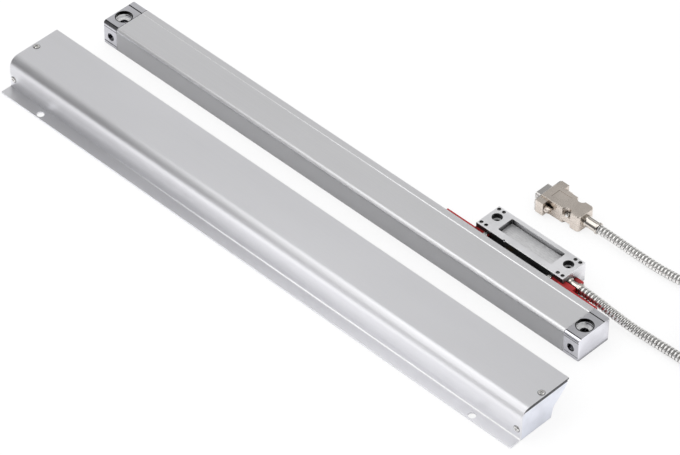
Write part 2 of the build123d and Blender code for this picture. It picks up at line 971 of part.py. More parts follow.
def make_bracket_screws():
    screws = []
    seat = bracket_block_top
    r = bracket_screw_head
    top = seat + bracket_screw_head_height
    half_slot = bracket_slot / 2
    for x, y in bracket_screw_places():
        screw = rod_z(x, y, seat - bracket_screw_length, seat, bracket_screw_radius)
        head = rod_z(x, y, seat, top, r)
        head = chamfer(head.edges().group_by(Axis.Z)[-1], bracket_slot)
        head -= block(x - r, x + r, y - half_slot, y + half_slot,
                      top - bracket_slot_depth, head_top)
        screws.append(screw + head)
    return group(screws)


def turned(profile, place):
    # Revolve a profile of (along, radius) about the X axis at a place.
    face = section(profile)
    return place * revolve(face, Axis.X, 360)


def make_gland():
    fr = gland_flange_radius
    r = gland_radius
    bore = inner_lead_radius + thread_gap
    tail = inner_lead_radius + gland_tail_wall
    profile = [
        (-gland_tail, bore), (gland_length, bore), (gland_length, r),
        (gland_flange + gland_step, r), (gland_flange, r + gland_step),
        (gland_flange, fr - gland_edge), (gland_flange - gland_edge, fr),
        (0, fr), (0, tail), (-gland_tail, tail),
    ]
    return turned(profile, Pos(gland_start, gland_y, gland_z))


def make_gland_collar():
    r = gland_collar_radius
    bore = inner_lead_radius + thread_gap
    length = gland_collar_length
    middle = length / 2
    low = r - collar_groove
    edge = collar_edge
    profile = [
        (0, bore), (length, bore), (length, r - edge), (length - edge, r),
        (middle + edge, r), (middle, low), (edge, low), (0, low - edge),
    ]
    return turned(profile, Pos(gland_start + gland_length, gland_y, gland_z))


def make_inner_lead():
    connector, x1 = make_connector()
    return rod_x(x1, hose_start, gland_y, gland_z, inner_lead_radius)


def corner_radii(points):
    # Largest arc that the two runs at each corner allow.
    radii = []
    for a, b, c in zip(points, points[1:], points[2:]):
        run_in = Vector(*b) - Vector(*a)
        run_out = Vector(*c) - Vector(*b)
        turn = math.radians(run_in.get_angle(run_out))
        radii.append(bend_share * min(run_in.length, run_out.length) / math.tan(turn / 2))
    return radii


def make_lead(name, points):
    radii = corner_radii(points)
    path = FilletPolyline(*points, radius=radii)
    start = Plane(origin=points[0], z_dir=Vector(*points[1]) - Vector(*points[0]))
    tube = sweep(start * Circle(hose_radius), path=path)
    ideal = math.pi * hose_radius ** 2 * path.length
    print(f"{name}: length {path.length:.1f}, radii {[round(r) for r in radii]}, "
          f"volume ratio {tube.volume / ideal:.4f}")
    return tube, path.length


def make_coil():
    r0 = coil_inner_turn - hose_radius
    r1 = coil_outer_turn + hose_radius
    ring = Cylinder(r1, coil_height) - Cylinder(r0, coil_height + 2)
    ring = fillet(ring.edges().filter_by(GeomType.CIRCLE), hose_radius * coil_edge_share)
    return Pos(coil_centre[0], coil_centre[1], coil_lift + coil_height / 2) * ring


def make_tie():
    # Flat strap round the bundle, on the side away from the plug.
    r0 = coil_inner_turn - hose_radius
    r1 = coil_outer_turn + hose_radius
    t = tie_thickness
    x, y = coil_centre
    strap = block(x + r0 - t, x + r1 + t, y - tie_width / 2, y + tie_width / 2,
                  0, coil_height + coil_lift + t)
    strap -= block(x + r0 - tie_slack, x + r1, y - tie_width, y + tie_width,
                   coil_lift, coil_height + coil_lift)
    end = x + r1 - tie_head_inset
    half = tie_width / 2 + tie_head_overhang
    top = coil_height + coil_lift + t
    head = block(end - tie_head_length, end, y - half, y + half, top,
                 top + tie_head_height)
    return strap + head


def coil_length():
    # Wound length: in, up and out again, then round to where the lead leaves.
    turns = (coil_outer_turn - coil_inner_turn) / hose_diameter
    middle = (coil_outer_turn + coil_inner_turn) / 2
    last = math.radians(last_turn) * coil_outer_turn
    return 2 * math.pi * (2 * turns * middle + coil_inner_turn) + last


def d_shape(width, height, corner):
    # D outline in Y and Z: wider at the top, slanted sides, round corners.
    slant = math.tan(math.radians(shell_slant)) * height / 2
    face = section([
        (-width / 2 + slant, -height / 2),
        (width / 2 - slant, -height / 2),
        (width / 2, height / 2),
        (-width / 2, height / 2),
    ])
    return fillet(face.vertices(), corner)


def plug_place(x=0.0):
    return Pos(plug_front + x, plug_y, plug_mid)


def jack_places():
    return [plug_y - jack_spacing / 2, plug_y + jack_spacing / 2]


def make_plug_shell():
    flange = block(plug_front, plug_front + flange_thickness,
                   plug_y - flange_width / 2, plug_y + flange_width / 2,
                   plug_mid - flange_height / 2, plug_mid + flange_height / 2)
    flange = fillet(flange.edges().filter_by(Axis.X), flange_corner)
    outer = d_shape(shell_width, shell_height, shell_corner)
    inner = d_shape(shell_width - 2 * shell_skin, shell_height - 2 * shell_skin,
                    shell_corner - shell_skin)
    place = Pos(0, plug_y, plug_mid)
    body = flange + place * along_x(outer, plug_front - shell_length, plug_front + 0.5)
    body -= place * along_x(inner, plug_front - shell_length - 1, plug_front + 2)
    for y in jack_places():
        body -= rod_x(plug_front - 1, plug_front + 3, y, plug_mid,
                      jack_radius + flange_hole_fit)
    return body


def make_insulator():
    inner = d_shape(shell_width - 2 * shell_skin, shell_height - 2 * shell_skin,
                    shell_corner - shell_skin)
    place = Pos(0, plug_y, plug_mid)
    body = place * along_x(inner, plug_front - pin_depth, plug_front + insulator_depth)
    for y, z in pin_places():
        body -= rod_x(plug_front - 3, plug_front + 6, y, z, pin_radius)
    return body


def pin_places():
    upper = [(plug_y + (i - 2) * pin_pitch, plug_mid + pin_row) for i in range(5)]
    lower = [(plug_y + (i - 1.5) * pin_pitch, plug_mid - pin_row) for i in range(4)]
    return upper + lower


def make_pins():
    pins = []
    for y, z in pin_places():
        pin = rod_x(plug_front - shell_length + pin_recess, plug_front + pin_tail, y, z,
                    pin_radius)
        pins.append(chamfer(pin.edges().group_by(Axis.X)[0], 0.2))
    return group(pins)


def hood_screw_places():
    # Screw axes, and how far out of the side each half-round recess is centred.
    x = plug_front + recess_x
    reach = hood_width / 2 - hood_screw_inset
    side = hood_width / 2 + recess_shift
    return [(x, plug_y + s * reach, plug_y + s * side) for s in (-1, 1)]


def make_hood():
    x0 = plug_front + flange_thickness
    body = block(x0, plug_back, plug_y - hood_width / 2, plug_y + hood_width / 2,
                 0, hood_height)
    body = fillet(body.edges().filter_by(Axis.Z).group_by(Axis.X)[-1], hood_corner)
    body = chamfer(body.faces().sort_by(Axis.Z)[-1].edges(), hood_edge)
    body = chamfer(body.faces().sort_by(Axis.Z)[0].edges(), hood_edge)
    body += block(x0, x0 + ear_depth, plug_y - flange_width / 2, plug_y + flange_width / 2,
                  plug_mid - flange_height / 2, plug_mid + flange_height / 2)
    # Seat of the insulator, then the hollow for the pin tails and the lead.
    seat_y = shell_width / 2 - shell_skin + insulator_fit
    seat_z = shell_height / 2 - shell_skin + insulator_fit
    body -= block(x0 - 1, plug_front + insulator_depth + insulator_fit, plug_y - seat_y,
                  plug_y + seat_y, plug_mid - seat_z, plug_mid + seat_z)
    body -= block(x0 - 1, x0 + hood_hollow, plug_y - hood_width / 2 + hood_wall,
                  plug_y + hood_width / 2 - hood_wall, hood_wall, hood_height - hood_wall)
    channel = hood_channel / 2
    body -= block(x0, plug_back - hood_back_wall, plug_y - channel, plug_y + channel,
                  plug_mid - channel, plug_mid + channel)
    body -= rod_x(plug_back - ferrule_spigot_length - 1, plug_back + 1, plug_y, plug_mid,
                  ferrule_spigot)
    for y in jack_places():
        body -= rod_x(x0 - 1, x0 + ear_depth + 1, y, plug_mid, jack_radius + jack_fit)
    for x, y, side in hood_screw_places():
        body -= rod_z(x, side, recess_floor, hood_height + 1, recess_radius)
        body -= rod_z(x, side, -1, nut_recess, recess_radius)
        body -= rod_z(x, y, 0, hood_height, hood_screw_radius + thread_gap)
    panel_x = plug_front + panel_start
    body -= block(panel_x, panel_x + panel_length, plug_y - panel_width / 2,
                  plug_y + panel_width / 2, hood_height - panel_depth, hood_height + 1)
    return body


def make_hood_screws():
    screws = []
    for x, y, side in hood_screw_places():
        screw = rod_z(x, y, nut_recess + hood_screw_end, recess_floor, hood_screw_radius)
        head = rod_z(x, y, recess_floor, recess_floor + hood_screw_head,
                     hood_screw_head_radius)
        top = recess_floor + hood_screw_head
        head = chamfer(head.edges().group_by(Axis.Z)[-1], hood_screw_cross)
        head -= cross(x, y, top, hood_screw_cross, hood_screw_cross_reach,
                      hood_screw_cross_depth)
        screws.append(screw + head)
    return group(screws)


def make_ferrule():
    r = ferrule_radius
    length = ferrule_length
    bore = ferrule_bore
    bead = r + ferrule_bead
    collar = r + ferrule_collar
    edge = ferrule_collar
    spigot = ferrule_spigot - thread_gap
    profile = [
        (-ferrule_spigot_length, bore), (length, bore), (length, bead - edge),
        (length - edge, bead), (length - ferrule_bead_length, bead),
        (length - ferrule_bead_length - edge, r), (ferrule_collar_length + edge, r),
        (ferrule_collar_length, collar), (0, collar), (0, spigot),
        (-ferrule_spigot_length, spigot),
    ]
    return turned(profile, Pos(plug_back, plug_y, plug_mid))


def make_jackscrew(y):
    # Threaded tip on a thinner shank, so that the screw stays in the hood.
    seat = plug_front + flange_thickness + ear_depth + 0.1
    tip = rod_x(plug_front - jack_tip, plug_front - jack_tip_gap, y, plug_mid, jack_radius)
    tip = chamfer(tip.edges().group_by(Axis.X)[0], jack_edge)
    shank = rod_x(plug_front - jack_tip / 2, seat + 1, y, plug_mid, jack_shank_radius)
    end = seat + jack_head_length
    head = rod_x(seat, end, y, plug_mid, jack_head_radius)
    head = chamfer(head.edges().filter_by(GeomType.CIRCLE), jack_edge)
    head -= block(end - jack_slot_depth, end + 1, y - jack_head_radius,
                  y + jack_head_radius, plug_mid - jack_slot / 2,
                  plug_mid + jack_slot / 2)
    return tip + shank + head


def cover_outline():
    # Outer line of the bent sheet, from the flange tip over the wall to the free top edge.
    y0 = cover_wall_y
    return [
        (y0 - cover_flange, cover_sheet / 2),
        (y0 + cover_sheet / 2, cover_sheet / 2),
        (y0 + cover_sheet / 2, cover_height - cover_sheet / 2),
        (y0 + cover_width, cover_height - cover_sheet / 2),
    ]


def make_cover_sheet():
    half = cover_sheet / 2
    line = FilletPolyline(*cover_outline(), radius=[cover_foot_bend - half, cover_bend - half])
    face = trace(line, line_width=cover_sheet)
    body = along_x(face, cover_left, cover_right)
    for s in (-1, 1):
        x = cover_centre_x + s * cover_hole_spacing / 2
        body -= rod_z(x, cover_wall_y - cover_flange + cover_hole_inset, -1, 4,
                      cover_hole_radius)
    for x in cover_screw_x():
        body -= rod_z(x, cover_wall_y + cover_screw_top_y, cover_height - 3,
                      cover_height + 1, cover_screw_radius + cover_screw_fit)
        body -= rod_y(x, cover_wall_y - 1, cover_wall_y + 3, cover_screw_side_z,
                      cover_screw_radius + cover_screw_fit)
    return body


def cover_screw_x():
    inset = end_plate_thickness / 2
    return [cover_left + inset, cover_right - inset]


def make_cover_end(side):
    # Solid end plate under the sheet, its free edge cut back in a hollow curve.
    y0 = cover_wall_y + cover_sheet
    top = cover_height - cover_sheet
    right = cover_wall_y + cover_width
    foot = cover_wall_y + end_plate_foot
    base = end_plate_lift
    edge = right - end_plate_edge
    bend = cover_bend - cover_sheet
    heel = FilletPolyline(
        (foot, base), (foot + end_plate_lip, base + end_plate_lip + heel_rise),
        (foot + heel_run, base + heel_top), (edge, top - end_plate_nose),
        radius=[heel_radius, hollow_radius])
    outline = heel + Line((edge, top - end_plate_nose), (edge, top))
    outline += Line((edge, top), (y0 + bend, top))
    outline += RadiusArc((y0 + bend, top), (y0, top - bend), -bend)
    outline += Line((y0, top - bend), (y0, base))
    outline += Line((y0, base), (foot, base))
    face = make_face(outline)
    x0 = cover_right - end_plate_thickness if side > 0 else cover_left
    body = along_x(face, x0, x0 + end_plate_thickness)
    x = x0 + end_plate_thickness / 2
    body -= rod_z(x, cover_wall_y + cover_screw_top_y, top - cover_screw_reach, top + 1,
                  cover_screw_radius + thread_gap)
    body -= rod_y(x, y0 - 1, y0 + cover_screw_reach, cover_screw_side_z,
                  cover_screw_radius + thread_gap)
    return body


def make_cover_screws():
    screws = []
    for x in cover_screw_x():
        shank = rod_z(0, 0, -cover_sheet - cover_screw_reach + 1, 0, cover_screw_radius)
        head = rod_z(0, 0, 0, cover_screw_head, cover_screw_head_radius)
        head = chamfer(head.edges().group_by(Axis.Z)[-1], cover_screw_cross_depth)
        head -= cross(0, 0, cover_screw_head, cover_screw_cross, cover_screw_cross_reach,
                      cover_screw_cross_depth)
        screw = shank + head
        screws.append(Pos(x, cover_wall_y + cover_screw_top_y, cover_height) * screw)
        screws.append(Pos(x, cover_wall_y, cover_screw_side_z) * Rot(90, 0, 0) * screw)
    return group(screws)


save("housing", make_housing())
save("end_cap_left", make_cap(-1))
save("end_cap_right", make_cap(1))
save("cap_gasket_left", make_gasket(-1))
save("cap_gasket_right", make_gasket(1))
save("cap_screws", make_cap_screws())
save("glass_scale", block(-glass_half, glass_half, glass_near, glass_far,
                          glass_bottom, glass_top))
save("glass_bonds", make_glass_bonds())
save("lip_seal_upper", make_lip_seal(1))
save("lip_seal_lower", make_lip_seal(-1))

save("head_block", make_head_block())
save("head_cover", make_head_cover())
save("head_screws", make_head_screws())
save("label_plate", make_label_plate())
save("blade", make_blade())
save("blade_clamp", make_blade_clamp())
save("clamp_screws", make_clamp_screws())
save("circuit_board", make_board())
save("board_screws", make_board_screws())
save("lead_connector", make_connector()[0])
save("inner_lead", make_inner_lead())
save("signal_ribbon", make_ribbon())
save("coupling_wire", make_coupling_wire())
save("carriage", make_carriage())
save("roller_axles", make_axles())
save("lamp_bracket", make_lamp_bracket())
save("lamp_board", make_lamp_board())
save("lamp_lens", make_lens())
save("scanning_reticle", make_reticle())
save("photocell_board", make_photo_board())
save("photocell_array", make_photo_array())
for number, (x, y) in enumerate(face_roller_places(), 1):
    save(f"face_roller_{number}", roller(Pos(x, y, face_axle_z) * Rot(90, 0, 0)))
for number, dx in enumerate(edge_roller_x, 1):
    place = Pos(head_centre + dx, edge_axle_y, edge_roller_mid)
    save(f"edge_roller_{number}", roller(place))
save("transport_bracket_left", make_bracket(-1))
save("transport_bracket_right", make_bracket(1))
save("bracket_screws", make_bracket_screws())
save("cable_gland", make_gland())
save("gland_collar", make_gland_collar())

lead_out, out_length = make_lead("lead_out", lead_out_points)
lead_back, back_length = make_lead("lead_back", lead_back_points)
save("lead_out", lead_out)
save("lead_back", lead_back)
save("lead_coil", make_coil())
save("coil_tie", make_tie())
print(f"whole lead: {out_length + coil_length() + back_length:.0f} mm")

hood = make_hood()
split = block(plug_front, plug_back, plug_y - flange_width, plug_y + flange_width,
              0, plug_mid)
save("plug_hood_lower", hood & split)
save("plug_hood_upper", hood - split)
save("plug_shell", make_plug_shell())
save("plug_insulator", make_insulator())
save("plug_pins", make_pins())
save("hood_screws", make_hood_screws())
save("plug_ferrule", make_ferrule())
for name, y in zip(("jackscrew_near", "jackscrew_far"), jack_places()):
    save(name, make_jackscrew(y))

save("cover_sheet", make_cover_sheet())
save("cover_end_left", make_cover_end(-1))
save("cover_end_right", make_cover_end(1))
save("cover_screws", make_cover_screws())
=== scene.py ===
# %% [markdown]
# # A linear glass scale, dressed around its packed CAD frame
#
# A linear glass scale tells a machine tool where its slide is. A slim extrusion holds the
# glass, a reading head slides beside it, an armoured lead takes the signal to a nine-pole
# plug, and a bent aluminium cover keeps chips off. The CAD frame already has every piece at
# its real size, so this lesson adds only what the frame can't hold: the wound steel hose and
# the finish of each metal, plastic and glass.

# %% Load the frame and keep its box
import json
import math

import bpy
from mathutils import Matrix, Vector


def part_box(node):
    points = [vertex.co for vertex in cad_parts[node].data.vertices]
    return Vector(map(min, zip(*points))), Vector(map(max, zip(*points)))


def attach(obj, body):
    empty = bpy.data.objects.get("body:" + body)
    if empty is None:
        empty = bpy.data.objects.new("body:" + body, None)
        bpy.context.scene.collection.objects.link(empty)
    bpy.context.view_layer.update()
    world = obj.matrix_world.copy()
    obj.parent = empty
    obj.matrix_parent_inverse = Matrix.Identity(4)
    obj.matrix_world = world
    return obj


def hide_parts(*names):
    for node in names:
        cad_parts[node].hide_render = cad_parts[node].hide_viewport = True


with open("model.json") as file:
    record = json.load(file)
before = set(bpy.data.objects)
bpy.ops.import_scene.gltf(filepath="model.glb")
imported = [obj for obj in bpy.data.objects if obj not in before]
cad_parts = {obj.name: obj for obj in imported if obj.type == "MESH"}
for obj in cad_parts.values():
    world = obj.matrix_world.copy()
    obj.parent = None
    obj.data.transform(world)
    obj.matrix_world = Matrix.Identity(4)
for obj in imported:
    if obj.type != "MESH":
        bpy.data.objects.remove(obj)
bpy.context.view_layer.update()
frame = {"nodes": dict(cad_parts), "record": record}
MM = 0.001
X, Y, Z = range(3)

# %% [markdown]
# ## Camera
#
# The photograph was taken with a long lens from about three metres away, looking down at
# 43 degrees across the near right end. A long lens keeps the two extrusions nearly parallel.
# The camera's axes are written out, because the photograph is also rolled by half a degree,
# which a tracking constraint wouldn't give.

# %% Camera of the photograph
LENS = 218.1
AZIMUTH = math.radians(44.05)
ELEVATION = math.radians(43.44)
ROLL = math.radians(0.62)
AIM = Vector((31.0, -39.1, 0.0)) * MM
DISTANCE = 3243 * MM

back = Vector((
    math.sin(AZIMUTH) * math.cos(ELEVATION),
    -math.cos(AZIMUTH) * math.cos(ELEVATION),
    math.sin(ELEVATION),
))
level = Vector((0, 0, 1)).cross(back).normalized()
upright = back.cross(level)
right = level * math.cos(ROLL) + upright * math.sin(ROLL)
up = upright * math.cos(ROLL) - level * math.sin(ROLL)

lens = bpy.data.cameras.new("camera")
lens.lens = LENS
lens.sensor_width = 36
lens.clip_start = 0.1
lens.clip_end = 50
camera = bpy.data.objects.new("camera", lens)
camera.matrix_world = Matrix.Translation(AIM + back * DISTANCE) @ Matrix(
    (right, up, back)).transposed().to_4x4()
bpy.context.scene.collection.objects.link(camera)
bpy.context.scene.camera = camera
bpy.context.scene.view_settings.view_transform = "Standard"
print("camera at", [round(x, 3) for x in camera.location])

# %% [markdown]
# ## Shader maths that reads like maths
#
# A material is a graph of nodes, and a long graph is hard to read. Here one small class
# wraps a node's output, so that `0.4 + 0.1 * grain` adds the Math nodes by itself. Numbers
# go through Math nodes, colours through Mix, and every other node comes from `add`.

# %% A value in a node graph
class Value:
    """One output of a node, usable in sums, products and comparisons."""

    def __init__(self, graph, socket):
        self.graph = graph
        self.socket = socket

    def maths(self, operation, first, second=None):
        inputs = {0: first}
        if second is not None:
            inputs[1] = second
        return self.graph.add("ShaderNodeMath", {"operation": operation}, inputs)

    def __add__(self, other):
        return self.maths("ADD", self, other)

    def __radd__(self, other):
        return self.maths("ADD", other, self)

    def __sub__(self, other):
        return self.maths("SUBTRACT", self, other)

    def __rsub__(self, other):
        return self.maths("SUBTRACT", other, self)

    def __mul__(self, other):
        return self.maths("MULTIPLY", self, other)

    def __rmul__(self, other):
        return self.maths("MULTIPLY", other, self)

    def __pow__(self, other):
        return self.maths("POWER", self, other)

    def __abs__(self):
        return self.maths("ABSOLUTE", self)

    def clamped(self):
        return self.maths("MAXIMUM", self.maths("MINIMUM", self, 1.0), 0.0)

    def wave(self):
        return self.maths("SINE", self)

    def between(self, low, high):
        """0 below low, 1 above high, and a smooth step from one to the other."""
        return self.graph.add(
            "ShaderNodeMapRange", {"interpolation_type": "SMOOTHSTEP"},
            {"Value": self, "From Min": low, "From Max": high})


print("a value knows", [name for name in vars(Value) if not name.startswith("_")])


# %% A node graph that makes values
class Graph:
    """The nodes of one material or of the world."""

    def __init__(self, owner):
        owner.use_nodes = True
        self.tree = owner.node_tree
        self.tree.nodes.clear()

    def put(self, socket, value):
        """Join a Value to the socket, or set the socket to a plain number or colour."""
        if isinstance(value, Value):
            self.tree.links.new(value.socket, socket)
        elif isinstance(value, (tuple, list)) and socket.type == "RGBA":
            socket.default_value = (*value[:3], 1.0)
        else:
            socket.default_value = value

    def add(self, kind, settings=None, inputs=None, output=0):
        """A new node with its settings and inputs, as the Value of one output."""
        node = self.tree.nodes.new(kind)
        for name, value in (settings or {}).items():
            setattr(node, name, value)
        for name, value in (inputs or {}).items():
            self.put(node.inputs[name], value)
        return Value(self, node.outputs[output]) if node.outputs else None

    def mix(self, first, second, factor):
        """A colour that goes from first to second as factor goes from 0 to 1."""
        # A Mix node has sockets for each type of value, and its colours are 6, 7 and 2.
        node = self.tree.nodes.new("ShaderNodeMix")
        node.data_type = "RGBA"
        self.put(node.inputs[0], factor)
        self.put(node.inputs[6], first)
        self.put(node.inputs[7], second)
        return Value(self, node.outputs[2])

    def place(self, x=1.0, y=1.0, z=1.0):
        """The point on the piece, in metres, stretched along each axis."""
        point = self.add("ShaderNodeTexCoord", output="Object")
        return self.add("ShaderNodeVectorMath", {"operation": "MULTIPLY"},
                        {0: point, 1: (x, y, z)})

    def along(self, axis):
        """The point's coordinate on the piece along X, Y or Z, in metres."""
        return self.add("ShaderNodeSeparateXYZ", None, {0: self.place()}, output=axis)

    def stripe(self, axis, place, inner, outer):
        """1 within inner of a place on an axis and 0 past outer, all in millimetres."""
        return 1 - abs(self.along(axis) - place * MM).between(inner * MM, outer * MM)

    def above(self, level, fade):
        """0 below a level on the piece and 1 from fade above it, in millimetres."""
        return self.along(Z).between(level * MM, (level + fade) * MM)

    def noise(self, where, scale, detail=3.0, rough=0.5):
        """Cloudy noise from 0 to 1."""
        return self.add("ShaderNodeTexNoise", None,
                        {"Vector": where, "Scale": scale, "Detail": detail,
                         "Roughness": rough})

    def edge(self, width):
        """1 on sharp edges of the piece and 0 on its flats, from a rounded normal."""
        round_normal = self.add("ShaderNodeBevel", {"samples": 4}, {"Radius": width})
        true_normal = self.add("ShaderNodeNewGeometry", output="True Normal")
        same = self.add("ShaderNodeVectorMath", {"operation": "DOT_PRODUCT"},
                        {0: round_normal, 1: true_normal}, output="Value")
        return (1 - same).between(0.02, 0.25)

    def facing(self, axis):
        """How far the face looks along X, Y or Z of the piece, from -1 to 1."""
        normal = self.add("ShaderNodeTexCoord", output="Normal")
        return self.add("ShaderNodeSeparateXYZ", None, {0: normal}, output=axis)

    def recess(self, reach, shut=0.10, clear=0.75):
        """1 deep inside a hole or a tight corner and 0 on an open face."""
        open_share = self.add("ShaderNodeAmbientOcclusion", {"samples": 6},
                              {"Distance": reach}, output="AO")
        return 1 - open_share.between(shut, clear)

    def bumped(self, height, depth, width=0.0):
        """A normal with that relief, over edges rounded by width."""
        inputs = {"Height": height, "Distance": depth, "Strength": 1.0}
        if width:
            inputs["Normal"] = self.add("ShaderNodeBevel", {"samples": 4},
                                        {"Radius": width})
        return self.add("ShaderNodeBump", None, inputs)

    def surface(self, **sockets):
        """The Principled shader with those sockets, joined to the output."""
        shader = self.add("ShaderNodeBsdfPrincipled", None,
                          {name.replace("_", " "): value for name, value in sockets.items()})
        self.add("ShaderNodeOutputMaterial", None, {"Surface": shader})


print("a graph knows", [name for name in vars(Graph) if not name.startswith("_")])

# %% Finishes by name
finishes = {}


def finish_of(name):
    """The graph of a new material, which is kept in finishes by its name."""
    finishes[name] = bpy.data.materials.new(name)
    return Graph(finishes[name])


def tinted(colour, share, lift=0.0):
    """The colour times share, plus lift, and no brighter than white."""
    return [min(1.0, share * c + lift) for c in colour]


print("half of white is", tinted((1.0, 1.0, 1.0), 0.5))

# %% [markdown]
# ## Stage
#
# Metal has no colour of its own to speak of: it shows the room. So the room is built as a
# product photographer would: a white floor, a dark ceiling, a pale panel behind on the left
# for the flat tops to mirror, another on the right, and a bright horizon that is dimmed in
# front. The camera sees plain white, rays that light dull surfaces see an even pale sky, and
# only mirrored rays see the panels. The floor keeps a faint shadow.

# %% White world
WORLD_LIGHT = 0.92
CEILING_GLOW = 0.07
PANEL_SIDE = (-0.695, 0.719)
PANEL_GLOW = 0.35
PANEL_FOOT_GLOW = 0.40
HORIZON_GLOW = 0.85
FRONT_DIMMING = 0.88
BESIDE_GLOW = 0.40

world = bpy.data.worlds.new("studio")
bpy.context.scene.world = world
sky = Graph(world)
direction = sky.add("ShaderNodeTexCoord", output="Generated")
along, across, height = (
    sky.add("ShaderNodeSeparateXYZ", None, {0: direction}, output=i) for i in (X, Y, Z))
behind = (PANEL_SIDE[X] * along + PANEL_SIDE[Y] * across).between(0.30, 0.50)
panel = behind * (PANEL_GLOW + PANEL_FOOT_GLOW * (1 - height.between(0.56, 0.66)))
front = 1 - across.between(-0.35, -0.05)
horizon = (1 - behind) * (1 - height.between(0.25, 0.45)) * (1 - FRONT_DIMMING * front)
beside = along.between(0.10, 0.45) * height.between(0.25, 0.45)
beside = beside * (1 - height.between(0.80, 0.95))
room = CEILING_GLOW + panel + HORIZON_GLOW * horizon + BESIDE_GLOW * beside

seen = sky.add("ShaderNodeLightPath", output="Is Camera Ray")
mirrored = sky.add("ShaderNodeLightPath", output="Is Glossy Ray")
passed = sky.add("ShaderNodeLightPath", output="Is Transmission Ray")
direct = (seen + passed).clamped()
strength = direct + (1 - direct) * (mirrored * room + (1 - mirrored) * WORLD_LIGHT)
light = sky.add("ShaderNodeBackground", None, {"Color": (1, 1, 1), "Strength": strength})
sky.add("ShaderNodeOutputWorld", None, {"Surface": light})
print("world lights at", WORLD_LIGHT)

# %% Floor
FLOOR_SIZE = 12.0
FLOOR_DROP = 0.2
FLOOR_GLOW = 0.80

half = FLOOR_SIZE / 2
floor_mesh = bpy.data.meshes.new("floor")
floor_mesh.from_pydata(
    [(-half, -half, 0), (half, -half, 0), (half, half, 0), (-half, half, 0)], [],
    [(0, 1, 2, 3)])
floor = bpy.data.objects.new("floor", floor_mesh)
floor.location.z = -FLOOR_DROP * MM
bpy.context.scene.collection.objects.link(floor)

g = finish_of("floor_paint")
paper = g.add("ShaderNodeBsdfDiffuse", None, {"Color": (0.96, 0.96, 0.97)})
glow = g.add("ShaderNodeEmission", None, {"Color": (1, 1, 1), "Strength": 1.0})
share = FLOOR_GLOW * g.add("ShaderNodeLightPath", output="Is Camera Ray")
g.add("ShaderNodeOutputMaterial", None, {
    "Surface": g.add("ShaderNodeMixShader", None, {0: share, 1: paper, 2: glow})})
floor_mesh.materials.append(finishes["floor_paint"])
print("floor", FLOOR_SIZE, "m across")


# %% [markdown]
# ## Lamps that stand close
#
# A panel painted on the sky is seen alike from everywhere, but in the photograph the rounded
# edges are white at the near end and grey at the far end. Only a lamp that stands close does
# that, because the far end's reflection misses it. One hangs over the front left, a lower one
# fills the bends of the near end, and one on the right lights the floor behind the caps.

# %% Soft lamps
def soft_lamp(name, place, aim, width, depth, radiance):
    """A rectangular lamp whose face is radiance times as bright as white paper."""
    lamp = bpy.data.lights.new(name, "AREA")
    lamp.shape = "RECTANGLE"
    lamp.size = width
    lamp.size_y = depth
    lamp.energy = radiance * math.pi * width * depth
    made = bpy.data.objects.new(name, lamp)
    made.location = place
    made.rotation_euler = (Vector(aim) - Vector(place)).to_track_quat("-Z", "Y").to_euler()
    bpy.context.scene.collection.objects.link(made)


soft_lamp("front_lamp", place=(-0.28, -0.45, 1.0), aim=(-0.28, -0.45, 0),
          width=0.65, depth=1.5, radiance=1.35)
soft_lamp("low_lamp", place=(-0.20, -0.90, 0.42), aim=(0.28, -0.10, 0.03),
          width=0.60, depth=0.70, radiance=0.62)
soft_lamp("right_lamp", place=(1.6, 0.35, 0.8), aim=(0.2, 0, 0),
          width=0.9, depth=0.9, radiance=1.1)

# %% [markdown]
# ## The armoured lead
#
# The lead is a wound steel hose of 8 mm, one hooked strip of steel in a close helix. Its
# route comes first: out of the gland, down to the floor, along it, round a neat coil of the
# length that the photograph doesn't show, and back to the plug. The route is one NURBS
# spline with the chosen points as control points, which bends the way a stiff hose does.
# Lengths are in millimetres and angles in degrees.

# %% Points of the lead
HOSE = 8.0
LEAD_OUT = [
    (222.7, 30.9, 15.1), (234.0, 30.9, 15.1), (254.0, 32.0, 11.0), (272.0, 34.4, 6.4),
    (292.0, 36.8, 4.2), (318.0, 37.7, 4.3), (345.0, 37.5, 4.8),
]
LEAD_BACK = [
    (304.2, 127.1, 12.8), (290.0, 110.2, 9.5), (270.0, 101.6, 5.4), (246.0, 99.9, 4.1),
    (217.0, 99.6, 4.6), (197.0, 97.6, 7.8), (182.0, 97.6, 7.8),
]
COIL_CENTRE = (362.0, 99.5)
COIL_OUTER = 62.0
COIL_INNER = 34.0
COIL_LIFT = 0.8
COIL_START = -105
COIL_LAST_ARC = 248
CLIMB_AFTER = 0.3
CLIMB_TURNS = 0.4
TURN_POINTS = 16


def coil_points():
    """Points of the coil: in along the floor, up at the middle, and out on top."""
    winds = (COIL_OUTER - COIL_INNER) / HOSE
    turns = 2 * winds + 1 + COIL_LAST_ARC / 360
    points = []
    count = round(turns * TURN_POINTS)
    for i in range(1, count + 1):
        turn = turns * i / count
        inward = min(turn, winds)
        outward = min(max(turn - winds - 1, 0), winds)
        radius = COIL_OUTER - HOSE * (inward - outward)
        rise = min(max(turn - winds - CLIMB_AFTER, 0) / CLIMB_TURNS, 1)
        lift = COIL_LIFT + HOSE / 2 + HOSE * rise * rise * (3 - 2 * rise)
        angle = math.radians(COIL_START) + turn * math.tau
        points.append((COIL_CENTRE[X] + radius * math.cos(angle),
                       COIL_CENTRE[Y] + radius * math.sin(angle), lift))
    return points


print("the coil is", 2 * COIL_OUTER + HOSE, "mm across")

